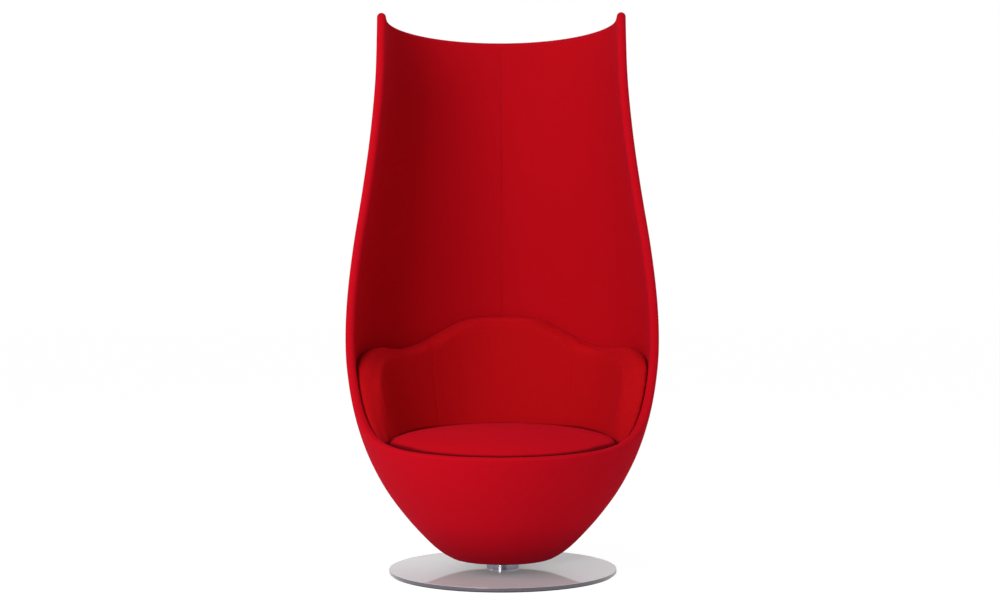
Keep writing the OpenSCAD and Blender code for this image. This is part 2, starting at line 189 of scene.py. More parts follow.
# The column: a turned steel tube 93 mm across, polished bright; only its lowest 28 mm show
# between the plate and the shell. The bushes inside it are sintered bronze.
polished, tree, shader, place = finish("polished_steel", Metallic=1.0, Roughness=0.14)
stretch = add(tree, "ShaderNodeMapping", {"Vector": place, "Scale": (60.0, 60.0, 900.0)})
turning = add(tree, "ShaderNodeTexNoise", {"Vector": stretch["Vector"], "Scale": 1.0, "Detail": 2.0})
tree.links.new(between(tree, turning["Fac"], "#9292a0", "#a6a6b4"), shader.inputs["Base Color"])
grained(tree, shader, turning["Fac"], distance=0.00003, strength=0.3)
dress(polished, "column")

# Sintered bronze: dull, warm and finely pitted
bronze, tree, shader, place = finish("sintered_bronze", Metallic=1.0, Roughness=0.42)
pits = add(tree, "ShaderNodeTexNoise", {"Vector": place, "Scale": 1400.0, "Detail": 3.0})
tree.links.new(between(tree, pits["Fac"], "#8a6a3a", "#b8945c"), shader.inputs["Base Color"])
grained(tree, shader, pits["Fac"], distance=0.00008, strength=0.5)
dress(bronze, "lower_bush", "upper_bush")

# Moulded nylon: off-white, slightly waxy
nylon, tree, shader, place = finish("moulded_nylon", Roughness=0.45, Subsurface_Weight=0.1)
haze = add(tree, "ShaderNodeTexNoise", {"Vector": place, "Scale": 80.0, "Detail": 2.0})
tree.links.new(between(tree, haze["Fac"], "#dedcd2", "#ebe9e2"), shader.inputs["Base Color"])
dress(nylon, "thrust_washer")

# The spindle, its retainer and all the screws, bolts and washers: turned steel, bright zinc plated.
# The plating is bluish and blotched over a few millimetres.
zinc, tree, shader, place = finish("bright_zinc_plating", Metallic=1.0, Roughness=0.3)
blotch = add(tree, "ShaderNodeTexNoise", {"Vector": place, "Scale": 220.0, "Detail": 4.0})
tree.links.new(between(tree, blotch["Fac"], "#969ca6", "#b9bec6"), shader.inputs["Base Color"])
cast = add(tree, "ShaderNodeMapRange", {"Value": blotch["Fac"], "To Min": 0.24, "To Max": 0.38})
tree.links.new(cast["Result"], shader.inputs["Roughness"])
dress(zinc, "column_screws", "spindle", "flange_screws", "spindle_retainer", "retainer_screw",
      "frame_bolts", "frame_washers", "deck_screws")

# The swivel frame: a cross of flame-cut steel plate, which the shell's four bosses are bolted to.
# It is powder coated matt black, with a fine orange peel.
powder, tree, shader, place = finish("black_powder_coat", Roughness=0.55)
peel = add(tree, "ShaderNodeTexNoise", {"Vector": place, "Scale": 700.0, "Detail": 2.0})
tree.links.new(between(tree, peel["Fac"], "#1c1c1e", "#262628"), shader.inputs["Base Color"])
grained(tree, shader, peel["Fac"], distance=0.0001, strength=0.5)
dress(powder, "swivel_frame")

# The shell core: hand-laid glass fibre and polyester, 8 mm thick, grey with the mat showing through
# its resin. The collar round the column is black injection-moulded plastic.
laminate, tree, shader, place = finish("glass_fibre_laminate", Roughness=0.4, Coat_Weight=0.2)
strands = add(tree, "ShaderNodeTexVoronoi", {"Vector": place, "Scale": 120.0}, feature="F1")
tree.links.new(between(tree, strands["Distance"], "#3c3c40", "#55565a"), shader.inputs["Base Color"])
grained(tree, shader, strands["Distance"], distance=0.0004, strength=0.4)
dress(laminate, "shell_core")

plastic, tree, shader, place = finish("black_moulded_plastic", Roughness=0.5)
texture = add(tree, "ShaderNodeTexNoise", {"Vector": place, "Scale": 900.0, "Detail": 3.0})
tree.links.new(between(tree, texture["Fac"], "#151516", "#222224"), shader.inputs["Base Color"])
grained(tree, shader, texture["Fac"], distance=0.00008, strength=0.4)
dress(plastic, "hole_collar")

# The seat deck and its ledge: birch plywood, sawn and sanded, pale with darker growth lines
# about 6 mm apart along the sheet.
birch, tree, shader, place = finish("birch_plywood", Roughness=0.6)
stretch = add(tree, "ShaderNodeMapping", {"Vector": place, "Scale": (1.0, 12.0, 12.0)})
growth = add(tree, "ShaderNodeTexNoise", {"Vector": stretch["Vector"], "Scale": 14.0, "Detail": 6.0,
                                          "Distortion": 0.6})
tree.links.new(between(tree, growth["Fac"], "#c39a66", "#e6cb9f"), shader.inputs["Base Color"])
grained(tree, shader, growth["Fac"], distance=0.0002, strength=0.4)
dress(birch, "deck_ledge", "seat_deck")

# The outer cover: one skin of thick red wool felt over 8 mm of wadding, pulled tight over the bulb
# and turned in round the hole for the column. Its upper edge follows the opening.
shell_h = 1.615
shell_w = 0.898
lean_z = 0.352
lean = math.radians(3.5)
cover_t = 0.008
wall_t = 0.026
roll_h = 0.013
hole_r = 0.0523
cover_bottom = 0.041
outline_shares = [(0.0147, 0), (0.0177, 0.178), (0.0236, 0.292), (0.0406, 0.401), (0.0655, 0.499),
                  (0.1033, 0.622), (0.153, 0.752), (0.215, 0.865), (0.2825, 0.943), (0.3525, 0.987),
                  (0.414, 1), (0.488, 0.989), (0.5755, 0.953), (0.674, 0.897), (0.774, 0.848),
                  (0.8735, 0.8155), (0.960, 0.806), (1.035, 0.804)]
rim_shares = [(0, 0.2115), (20, 0.2135), (40, 0.2195), (54, 0.2285), (63, 0.2395), (70, 0.2543),
              (75.5, 0.2762), (79.5, 0.308), (81.5, 0.3505), (81.9, 0.412), (82, 0.512),
              (82.1, 0.623), (82.2, 0.747), (82.3, 0.8715), (82.5, 0.958), (83.6, 0.9915),
              (87, 1), (92, 0.9985), (98, 0.9955), (110, 0.9945), (135, 0.9946), (180, 0.995)]


def curve(points, steps):
    """A smooth line through the points, in steps from each to the next."""
    p = [np.array(q, float) for q in points]
    p = [2 * p[0] - p[1], *p, 2 * p[-1] - p[-2]]
    made = []
    for a, b, c, d in zip(p, p[1:], p[2:], p[3:]):
        for t in np.arange(steps) / steps:
            made.append(0.5 * (2 * b + (c - a) * t + (2 * a - 5 * b + 4 * c - d) * t * t
                               + (3 * b - a - 3 * c + d) * t**3))
    made.append(p[-2])
    return np.array(made)


def evened(line, step, spread, closed=False):
    """The line again in equal steps, with kinks shorter than the spread averaged out."""
    if closed:
        line = np.concatenate([line, line[:1]])
    run = np.concatenate([[0], np.cumsum(np.linalg.norm(np.diff(line, axis=0), axis=1))])
    count = int(round(run[-1] / step))
    even = np.linspace(0, run[-1], count + 1)
    line = np.stack([np.interp(even, run, line[:, i]) for i in range(line.shape[1])], axis=1)
    reach = max(1, int(3 * spread / step))
    weights = np.exp(-0.5 * (np.arange(-reach, reach + 1) * step / spread) ** 2)
    weights /= weights.sum()
    if closed:
        line = line[:-1]
        wide = np.concatenate([line[-reach:], line, line[:reach]])
    else:
        wide = np.concatenate([2 * line[0] - line[reach:0:-1], line,
                               2 * line[-1] - line[-2 : -reach - 2 : -1]])
    return np.stack([np.convolve(wide[:, i], weights, "valid") for i in range(line.shape[1])], axis=1)


def held(share):
    """The share, kept between 0 and 1."""
    return max(0.0, min(1.0, share))


def eased(share):
    """The share, started and ended softly."""
    return share * share * (3 - 2 * share)


def inset(line, depth):
    """The line of heights and radii moved in by a depth, square to itself."""
    way = np.gradient(line, axis=0)
    way /= np.linalg.norm(way, axis=1)[:, None]
    return np.stack([line[:, 0] + depth * way[:, 1], line[:, 1] - depth * way[:, 0]], axis=1)


def at(angle, radius, z):
    """A point of the upright shell, its angle in degrees round from the front towards the right."""
    turn = math.radians(angle)
    return Vector((radius * math.sin(turn), -radius * math.cos(turn), z))


def reclined(point):
    """The same point once the shell leans back."""
    up = point.z - lean_z
    return Vector((point.x, point.y * math.cos(lean) + up * math.sin(lean),
                   up * math.cos(lean) - point.y * math.sin(lean) + lean_z))


def upright(point):
    """Angle round from the front, height and radius of a point before the shell leant back."""
    up = point.z - lean_z
    y = point.y * math.cos(lean) - up * math.sin(lean)
    z = up * math.cos(lean) + point.y * math.sin(lean) + lean_z
    return math.degrees(math.atan2(point.x, -y)) % 360, z, math.hypot(point.x, y)


outline = curve([(z * shell_h, r * shell_w / 2) for z, r in outline_shares], steps=8)
outline = evened(outline, step=0.002, spread=0.012)
outline[:, 1] = np.maximum(outline[:, 1], 0)
wall_middle = inset(outline, wall_t / 2)
wall_inside = inset(outline, wall_t)


def read(line, x):
    """The second value of the line where its first is x."""
    return float(np.interp(x, line[:, 0], line[:, 1]))


def radius(z, line):
    """How far a line of heights and radii stands from the upright axis at this height."""
    return read(line, z)


def rim_line():
    """The crown of the rim: points of the upright shell, and the way the rim faces at each."""
    half = curve([(a, z * shell_h) for a, z in rim_shares], steps=8)
    whole = np.concatenate([half, [(360 - a, z) for a, z in half[-2:0:-1]]])
    points = np.array([at(a, radius(z, wall_middle), z) for a, z in whole])
    points = evened(points, step=0.006, spread=0.006, closed=True)
    ways = []
    near = 0.003
    for i, p in enumerate(points):
        run = Vector(points[(i + 1) % len(points)] - points[i - 1])
        z = float(p[2])
        slope = (radius(z + near, wall_middle) - radius(z - near, wall_middle)) / (2 * near)
        out = at(math.degrees(math.atan2(p[0], -p[1])), 1, -slope)
        ways.append(np.array(out.cross(run).normalized()))
    return points, np.array(ways)


def edge_line(back):
    """The rim moved back into the wall: its angle from the front, up to 180 degrees, and its height."""
    points = rim - back * rim_way
    angles = np.degrees(np.arctan2(points[:, 0], -points[:, 1])) % 360
    line = np.stack([angles, points[:, 2]], axis=1)
    line = line[line[:, 0] < 180.5]
    return line[np.argsort(line[:, 0])]


rim, rim_way = rim_line()


def lay(columns, rows, placed):
    """A grid whose point in column i and row j is laid at placed(i, j)."""
    select_none()
    bpy.ops.mesh.primitive_grid_add(x_subdivisions=columns, y_subdivisions=rows, size=1)
    piece = bpy.context.object
    for vertex in piece.data.vertices:
        i = round((vertex.co.x + 0.5) * columns)
        j = round((vertex.co.y + 0.5) * rows)
        vertex.co = placed(i, j)
    return piece


def joined(pieces, weld=0.00005):
    """The pieces as one, their shared edges welded and their faces turned outwards."""
    select_none()
    for piece in pieces:
        piece.select_set(True)
    bpy.context.view_layer.objects.active = pieces[0]
    if len(pieces) > 1:
        bpy.ops.object.join()
    bpy.ops.object.mode_set(mode="EDIT")
    bpy.ops.mesh.select_all(action="SELECT")
    bpy.ops.mesh.remove_doubles(threshold=weld)
    bpy.ops.mesh.normals_make_consistent(inside=False)
    bpy.ops.object.mode_set(mode="OBJECT")
    return bpy.context.object


def thickened(piece, thickness, offset):
    """The open skin as a closed wall."""
    solid = piece.modifiers.new("thickness", "SOLIDIFY")
    solid.thickness = thickness
    solid.offset = offset
    solid.use_even_offset = True
    bpy.context.view_layer.objects.active = piece
    bpy.ops.object.modifier_apply(modifier=solid.name)
    bpy.ops.object.shade_smooth_by_angle(angle=math.radians(50))
    return piece


# The cover stops a little below the crown of the roll. The grid of its bowl and the grid of its
# tall part meet at turn_a, and the tall one runs out into the wings' tips at tip_a.
edge_back = 0.9 * roll_h
edge = edge_line(edge_back)
turn_a = 63.0
turn_z = read(edge, turn_a)
tip_a = 85.0
tip_z = read(edge, tip_a)
side = edge[(edge[:, 0] >= turn_a) & (edge[:, 0] <= tip_a)]
side = side[np.argsort(side[:, 1])]


def edge_z(angle):
    """The height at which the cover stops, at any angle."""
    return read(edge, 180 - abs(180 - angle))


def wing(u, v):
    """Angle and height over the tall part of the shell: u goes round from wing to wing, v goes up."""
    z = turn_z + (tip_z - turn_z) * v
    start = float(np.interp(z, side[:, 1], side[:, 0]))
    over = tip_a + (360 - 2 * tip_a) * u
    return start + (360 - 2 * start) * u, turn_z + (edge_z(over) - turn_z) * v


front_columns = 104
back_columns = 200
cover_rows = 58
wing_rows = 150
lift = 0.0015


def bowl_angle(i):
    """The angle of a column: even over the opening, then even round the back."""
    if i <= front_columns:
        return -turn_a + 2 * turn_a * i / front_columns
    return turn_a + (360 - 2 * turn_a) * (i - front_columns) / back_columns


def cover_bowl(i, j):
    """The bulb below the turn. Its foot is flattened at cover_bottom, with an edge as soft as lift."""
    angle = bowl_angle(i)
    top = edge_z(abs(angle)) if i <= front_columns else turn_z
    first = np.searchsorted(outline[:, 1], hole_r)
    last = np.searchsorted(outline[:, 0], top)
    where = first + (last - first) * (j / cover_rows)
    z = top if j == cover_rows else float(np.interp(where, np.arange(len(outline)), outline[:, 0]))
    r = radius(z, outline)
    point = reclined(at(angle, r, z))
    over = (point.z - cover_bottom) / lift
    point.z = cover_bottom + lift * (math.log1p(math.exp(over)) if over < 30 else over)
    return point


def cover_wing(i, j):
    """The tall part above the turn."""
    angle, z = wing(i / back_columns, j / wing_rows)
    return reclined(at(angle, radius(z, outline), z))


# Red wool felt: a dense, brushed, milled cloth. The fibres blur its threads, which leaves a fine
# mottle and a pale bloom where the nap is seen edge on. The cover, the lining, the wall cushions and
# the seat each have their own shade of the one felt, as painted light and shade: the seat is the
# lightest, for the light that falls on it from above, and the lining and the wall cushions the deepest.
def wool_felt(name, deep, bright, even, bloom=0.12):
    """Felt mottled from deep to bright, that drifts towards an even tone here and there."""
    made, tree, shader, place = finish(name, Roughness=0.9, Specular_IOR_Level=0.03, Sheen_Weight=bloom,
                                       Sheen_Roughness=0.45, Sheen_Tint=colour("#ff3a60"))
    melange = add(tree, "ShaderNodeTexNoise", {"Vector": place, "Scale": 420.0, "Detail": 4.0,
                                               "Roughness": 0.6})
    drift = add(tree, "ShaderNodeTexNoise", {"Vector": place, "Scale": 5.0, "Detail": 2.0})
    dyed = between(tree, melange["Fac"], deep, bright)
    tree.links.new(between(tree, drift["Fac"], dyed, even), shader.inputs["Base Color"])
    fuzz = add(tree, "ShaderNodeTexNoise", {"Vector": place, "Scale": 950.0, "Detail": 3.0})
    grained(tree, shader, fuzz["Fac"], distance=0.0005, strength=0.35)
    return made


def tinted(wool, name, code):
    """Takes the wool towards another colour by the share that the piece's attribute gives."""
    tree = wool.node_tree
    shader = tree.nodes["Principled BSDF"]
    share = add(tree, "ShaderNodeAttribute", attribute_name=name)
    plain = shader.inputs["Base Color"].links[0].from_socket
    tree.links.new(between(tree, share["Fac"], plain, code), shader.inputs["Base Color"])


def painted(piece, name, share):
    """Writes share(angle, height, radius) of each upright point into the piece's attribute."""
    layer = piece.data.attributes.new(name, "FLOAT", "POINT")
    for vertex in piece.data.vertices:
        layer.data[vertex.index].value = share(*upright(vertex.co))


def bulb_foot_painted_shade(angle, z, r):
    """Painted shade: the most at the bulb's foot, 0 from 150 mm over the floor."""
    return 0.5 * held((0.15 - z) / 0.11)


cover_wool = wool_felt("red_wool_felt_cover", "#b80919", "#cd0c1e", "#c20a1b", bloom=0.21)
# The cover is painted darker towards its foot: painted shade.
tinted(cover_wool, "bulb_foot_painted_shade", "#6a0610")

bowl = lay(front_columns + back_columns, cover_rows, cover_bowl)
wings = lay(back_columns, wing_rows, cover_wing)
cover = thickened(joined([bowl, wings]), cover_t, offset=-1)
painted(cover, "bulb_foot_painted_shade", bulb_foot_painted_shade)
settle(cover, "outer_upholstery", cover_wool, "shell")
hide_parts("outer_cover")

# The edge roll: a strip of the same felt over a foam cord, sewn to the cover and to the lining
# all round the opening, so a fine sunk seam runs on either side of it.
roll_shares = [(0.86, -0.30), (0.972, -0.13), (1.0, 0.0), (0.985, 0.17), (0.94, 0.34), (0.866, 0.5),
               (0.766, 0.643), (0.643, 0.766), (0.5, 0.866), (0.342, 0.94), (0.174, 0.985), (0, 1)]
roll_half = curve(roll_shares, steps=2)
roll_section = np.concatenate([roll_half, roll_half[-2::-1] * (-1, 1)])
roll_cut = rim - roll_h * rim_way


def roll_point(i, j):
    """Row j goes across the roll from skin to skin and back underneath, column i along the rim."""
    p = roll_cut[i % len(rim)]
    z = float(p[2])
    outer, inner = radius(z, outline), radius(z, wall_inside)
    across, proud = roll_section[j % len(roll_section)]
    angle = math.degrees(math.atan2(p[0], -p[1]))
    point = at(angle, (outer + inner) / 2 + (outer - inner) / 2 * across, z)
    return reclined(point + Vector(rim_way[i % len(rim)]) * roll_h * proud)


roll = joined([lay(len(rim), len(roll_section), roll_point)])
bpy.ops.object.shade_smooth_by_angle(angle=math.radians(60))
settle(roll, "edge_roll_cover", cover_wool, "shell")
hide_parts("edge_roll")

# The lining: two halves of the same felt over thin wadding, glued into the shell from the deck up
# and sewn together down the middle of the back, where the seam is pulled in by 0.8 mm.
lining_t = 0.0094
lining_rows = 12
deck_drop = 0.050
lining_gap = 0.0003
deck_z = rim_shares[0][1] * shell_h - deck_drop
lining_low = deck_z + lining_gap
seam_steps = [0.0, 0.0008, 0.0016, 0.0026, 0.004, 0.006, 0.009, 0.013]
seam_nick = 0.0005
seam_dip = 0.0003


def seam_turn(angle, count, i, z):
    """Draws the last columns before the middle of the back together, next to the seam."""
    k = count - i
    if k < len(seam_steps):
        return 180 - 0.04 - math.degrees(seam_steps[k] / radius(z, wall_inside))
    return angle


def lining_point(angle, z):
    """A point of the lining's face, sunk next to the middle seam."""
    away = math.radians(180 - angle) * radius(z, wall_inside)
    sunk = seam_nick * math.exp(-((away / 0.0030) ** 2)) + seam_dip * math.exp(-away / 0.012)
    return reclined(at(angle, radius(z, wall_inside) + sunk, z))


def lining_bowl(i, j):
    """The low part, from the deck to the edge or to the turn."""
    angle = min(bowl_angle(front_columns // 2 + i), 180)
    top = edge_z(angle) if angle <= turn_a else turn_z
    z = lining_low + (top - lining_low) * j / lining_rows
    return lining_point(seam_turn(angle, lining_columns, i, z), z)


def lining_wing(i, j):
    """The tall part above the turn."""
    angle, z = wing(i / back_columns, j / wing_rows)
    return lining_point(seam_turn(angle, back_columns // 2, i, z), z)


lining_wool = wool_felt("red_wool_felt_lining", "#ae0a16", "#c50c1a", "#ba0b18")
lining_columns = front_columns // 2 + back_columns // 2
for name, mirrored in (("lining_right", False), ("lining_left", True)):
    half = joined([lay(lining_columns, lining_rows, lining_bowl),
                   lay(back_columns // 2, wing_rows, lining_wing)])
    if mirrored:
        for vertex in half.data.vertices:
            vertex.co.x = -vertex.co.x
        half = joined([half])
    half = thickened(half, lining_t, offset=1)
    settle(half, name + "_felt", lining_wool, "shell")
    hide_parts(name)

# The back and arm cushions: three shaped blocks of firm foam in sewn felt covers, standing on the
# deck and leaning on the lining. The covers pull tight, so the faces swell and the edges round.
back_h = 0.462
back_t = 0.075
seat_h = 0.130
seam_angle = 38

# Round from the middle of the back, in degrees, to the arms' ends: the shares of back_h and of
# back_t, and how high up its own height the seat meets the cushions
back_top_shares = [(0, 1), (15, 0.985), (25, 0.922), (38, 0.82), (49, 0.777), (60, 0.779), (70, 0.782),
                   (80, 0.757), (87, 0.718), (91, 0.685), (94.5, 0.630), (96.5, 0.560),
                   (98.2, 0.477), (100.5, 0.385), (104, 0.308), (108, 0.250), (113, 0.202),
                   (117, 0.172)]
back_thick_shares = [(0, 1), (60, 0.985), (80, 0.93), (90, 0.87), (95, 0.78), (100, 0.66),
                     (104.5, 0.53), (110, 0.35), (114, 0.2), (117, 0.08), (119, 0.0)]
meet_line = np.array([(0, 0.97), (50, 0.90), (90, 0.70), (117, 0.58)])
top_curve = curve(back_top_shares, steps=6)
thick_curve = curve(back_thick_shares, steps=6)
wall_gap = 0.0008
cushion_back = inset(outline, wall_t + wall_gap)

# About the wall's radius behind the cushions, near enough for how steeply their tops fall
wall_r = 0.4


def section(thick, high, arm, end, fall):
    """A cushion's section: depth from the wall and height, up the front and down the back. The back's
    top edge stays full behind; an arm's is rounded over to the wall, square to its falling top, and
    its end is full behind again and rounded all over in front."""
    bend = min(0.026 + 0.008 * arm + 0.030 * end, thick * (0.42 + 0.30 * end))
    rear = min(0.003 + 0.067 * arm * (1 - end), thick - bend)
    steep = math.hypot(1, fall)
    bend_z = min(bend * (1 + 0.9 * arm) * steep, high * 0.8)
    rear_z = min(rear * steep, high * 0.8)
    # Up the front and round its top edge
    made = [(thick, (high - bend_z) * s) for s in np.linspace(0, 1, 22)]
    made += [(thick - bend + bend * math.cos(f), high - bend_z + bend_z * math.sin(f))
             for f in np.radians(np.linspace(8, 90, 14))]
    # Back over the top, round the edge at the wall and down the wall
    made += [(rear + (thick - bend - rear) * s, high) for s in (0.66, 0.33)]
    made += [(rear - rear * math.sin(f), high - rear_z + rear_z * math.cos(f))
             for f in np.radians(np.linspace(0, 90, 10))]
    made += [(0.0, (high - rear_z) * s) for s in np.linspace(0.94, 0, 14)]
    # Forward under the foot
    made += [(thick * s, 0.0) for s in (0.33, 0.66)]
    return made


def wall_cushion(reach, columns):
    """One closed block that follows the wall round from arm to arm."""
    sections = []
    for i in range(columns + 1):
        turn = reach * (2 * i / columns - 1)
        across = abs(turn)
        high = back_h * read(top_curve, across)
        further = back_h * read(top_curve, across + 1)
        fall = (further - high) / (math.radians(1) * wall_r)
        thick = back_t * read(thick_curve, across)
        arm = eased(held((across - 45) / 30))
        end = eased(held((across - 78) / 20))
        around = []
        for depth, up in section(thick, high, arm, end, fall):
            z = lining_low + up
            around.append(reclined(at(180 - turn, radius(z, cushion_back) - depth, z)))
        sections.append(around)
    count = len(sections[0])
    piece = joined([lay(columns, count, lambda i, j: sections[i][j % count])], weld=0.0001)
    bpy.ops.object.mode_set(mode="EDIT")
    bpy.ops.mesh.select_all(action="DESELECT")
    bpy.ops.mesh.select_mode(type="EDGE")
    bpy.ops.mesh.select_non_manifold()
    bpy.ops.mesh.edge_face_add()
    bpy.ops.mesh.select_all(action="SELECT")
    bpy.ops.mesh.quads_convert_to_tris()
    bpy.ops.mesh.normals_make_consistent(inside=False)
    bpy.ops.object.mode_set(mode="OBJECT")
    return piece


def apply_all(piece):
    """Applies the piece's modifiers in their order."""
    select_none()
    piece.select_set(True)
    bpy.context.view_layer.objects.active = piece
    for modifier in list(piece.modifiers):
        bpy.ops.object.modifier_apply(modifier=modifier.name)


def plumped(piece, voxel, swell, free):
    """Blows the closed form up a little, as foam in a tight cover. No point moves further than swell
    times free(point), which is 0 where the cushion rests on something."""
    remesh = piece.modifiers.new("even", "REMESH")
    remesh.mode = "VOXEL"
    remesh.voxel_size = voxel
    soften = piece.modifiers.new("soften", "SMOOTH")
    soften.factor = 0.5
    soften.iterations = 10
    apply_all(piece)
    start = [v.co.copy() for v in piece.data.vertices]
    cloth = piece.modifiers.new("pressure", "CLOTH")
    cloth.settings.use_pressure = True
    cloth.settings.uniform_pressure_force = 4
    cloth.settings.effector_weights.gravity = 0
    cloth.point_cache.frame_end = cloth_steps
    for step in range(1, cloth_steps + 1):
        bpy.context.scene.frame_set(step)
    apply_all(piece)
    for vertex, before in zip(piece.data.vertices, start):
        moved = vertex.co - before
        most = swell * free(before)
        if moved.length > most:
            moved *= most / moved.length
        vertex.co = before + moved
    relax = piece.modifiers.new("relax", "SMOOTH")
    relax.factor = 0.5
    relax.iterations = 9
    fine = piece.modifiers.new("fine", "SUBSURF")
    fine.levels = 1
    fine.render_levels = 1
    apply_all(piece)
    bpy.ops.object.shade_smooth()
    return piece


def wall_free(point):
    """0 on the faces that touch the wall or the deck, 1 on the front and the top."""
    angle, z, out = upright(point)
    from_wall = radius(z, cushion_back) - out
    return held(from_wall / 0.02 - 0.3) * held((z - lining_low) / 0.02)


def seam_plane(angle):
    """A point of the leaned axis, and the way across a seam that stands at this angle."""
    turn = math.radians(angle)
    foot = reclined(Vector((0, 0, 0)))
    return foot, reclined(Vector((math.cos(turn), math.sin(turn), 0))) - foot


def parted(whole, cuts):
    """A copy of the cushions kept on one side of each cut, its cut faces closed."""
    select_none()
    whole.select_set(True)
    bpy.context.view_layer.objects.active = whole
    bpy.ops.object.duplicate()
    piece = bpy.context.object
    bpy.ops.object.mode_set(mode="EDIT")
    for angle, side_kept in cuts:
        foot, across = seam_plane(angle)
        bpy.ops.mesh.select_all(action="SELECT")
        bpy.ops.mesh.bisect(plane_co=foot + across * side_kept * half_gap, plane_no=across * side_kept,
                            use_fill=True, clear_inner=True, threshold=0.00001)
    bpy.ops.object.mode_set(mode="OBJECT")
    bpy.ops.object.shade_smooth_by_angle(angle=math.radians(40))
    return piece


def back_top_painted_highlight(angle, z, r):
    """Painted highlight: the most on the rounded top edge of the back, where the light from above falls
    on it.
    """
    turn = abs(180 - angle)
    top = lining_low + back_h * read(top_curve, turn)
    return 0.5 * math.exp(-(((top - z) / 0.016) ** 2)) * held((85 - turn) / 25)


def cushion_foot_painted_shade(angle, z, r):
    """Painted shade where the seat meets the cushion: the most where the cushion stands behind the
    seat, 0 from 7 mm above where they meet.
    """
    turn = abs(180 - angle)
    meet = lining_low + seat_h * read(meet_line, turn)
    return 0.8 * held(1 - (z - meet) / 0.007)


cloth_steps = 20
half_gap = 0.00015
cushion_reach = 117
cushion_columns = 240
cushion_voxel = 0.006
wall_swell = 0.005
crease_depth = 0.0009
crease_width = 0.005
right_seam = 180 - seam_angle
left_seam = 180 + seam_angle
cushion_wool = wool_felt("red_wool_felt_cushions", "#b00d14", "#c60f18", "#bb0e16")
# The back's rounded top edge is painted lighter: a painted highlight.
tinted(cushion_wool, "back_top_painted_highlight", "#e0141f")
# The cushions' foot just above the seat is painted dark: painted shade.
tinted(cushion_wool, "cushion_foot_painted_shade", "#5c0409")
whole = plumped(wall_cushion(cushion_reach, cushion_columns), cushion_voxel, wall_swell, wall_free)
for angle in (right_seam, left_seam):
    foot, across = seam_plane(angle)
    near = [(v.index, (v.co - foot).dot(across) / crease_width) for v in whole.data.vertices]
    near = [(k, off, whole.data.vertices[k].normal.copy()) for k, off in near if abs(off) < 3]
    for k, off, normal in near:
        point = whole.data.vertices[k].co
        sunk = crease_depth * math.exp(-off * off) * wall_free(point)
        whole.data.vertices[k].co = point - normal * sunk
painted(whole, "back_top_painted_highlight", back_top_painted_highlight)
painted(whole, "cushion_foot_painted_shade", cushion_foot_painted_shade)
for name, cuts in (("back_cushion", ((right_seam, 1), (left_seam, -1))),
                   ("arm_cushion_left", ((left_seam, 1),)),
                   ("arm_cushion_right", ((right_seam, -1),))):
    cushion = settle(parted(whole, cuts), name + "_felt", cushion_wool, "shell")
    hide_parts(name)
bpy.data.objects.remove(whole)

# The seat cushion: a loose round block of foam in a sewn felt cover, its top panel crowned,
# its side panel tight. It drops into the well between the front lip and the wall cushions.
seat_gap = 0.0015

# Round from the front: how high up its own height the seat's top panel is sewn on
seat_seam_shares = [(0, 0.35), (20, 0.37), (40, 0.45), (54, 0.54), (63, 0.63), (75, 0.71), (90, 0.75),
                    (120, 0.78), (180, 0.80)]
seam_curve = curve(seat_seam_shares, steps=6)
crown_power = 2.1
arm_start = 61
foot_share = 0.97
seat_columns = 120
foot_rows, side_rows, crown_rows = 10, 10, 30
seat_swell = 0.004


def seat_reach(angle, z):
    """How far the seat goes out: nearly to the lining in front, to the cushions behind."""
    turn = 180 - abs(180 - angle)
    thick = 0.0
    if turn > arm_start:
        thick = back_t * read(thick_curve, 180 - turn)
    return radius(z, cushion_back) - seat_gap - thick


def seat_point(i, j):
    """Column i goes round; row j goes out under the foot, up the side and in over the crown."""
    angle = 360 * i / seat_columns
    turn = 180 - abs(180 - angle)
    seam = seat_h * read(seam_curve, turn)
    if j <= foot_rows:
        out = seat_reach(angle, lining_low) * foot_share * j / foot_rows
        return reclined(at(angle, out, lining_low))
    if j <= foot_rows + side_rows:
        up = (j - foot_rows) / side_rows
        z = lining_low + seam * up
        wide = foot_share + (1 - foot_share) * held(up * 2.5)
        return reclined(at(angle, seat_reach(angle, z) * wide, z))
    share = 1 - (j - foot_rows - side_rows) / crown_rows
    z = lining_low + seat_h - (seat_h - seam) * share**crown_power
    return reclined(at(angle, seat_reach(angle, lining_low + seam) * share, z))


def seat_free(point):
    """0 on the foot and the lower side, which the deck and the lining hold, 1 on the crown."""
    return held((point.z - 0.34) / 0.03)


def seat_edge_painted_shade(angle, z, r):
    """Painted shade in the crevices round the seat: the most along the edge of the top panel and where
    it dips behind the lip.
    """
    turn = 180 - abs(180 - angle)
    width = 0.0055 + 0.016 * (0.5 - 0.5 * math.cos(math.radians(angle)))
    edge_share = 1.6 - (seat_reach(angle, z) - r) / width
    lip = edge_z(turn) + edge_back
    seam = lining_low + seat_h * read(seam_curve, turn)
    lip += (seam - lip) * held((turn - 48) / 14)
    lip_share = (1 - (z - lip) / 0.005) * held((105 - turn) / 25)
    return 0.9 * held(max(edge_share, lip_share))


# The seat's felt is the lightest of the four: painted light, for the light from above.
seat_wool = wool_felt("red_wool_felt_seat", "#bf0a19", "#d40d1f", "#c90b1b")
# The seat is painted dark round its edge and behind the lip: painted shade.
tinted(seat_wool, "seat_edge_painted_shade", "#5c0409")
block = joined([lay(seat_columns, foot_rows + side_rows + crown_rows, seat_point)], weld=0.0001)
seat = plumped(block, cushion_voxel, seat_swell, seat_free)
painted(seat, "seat_edge_painted_shade", seat_edge_painted_shade)
settle(seat, "seat_cushion_felt", seat_wool, "cushion")
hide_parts("seat_cushion")

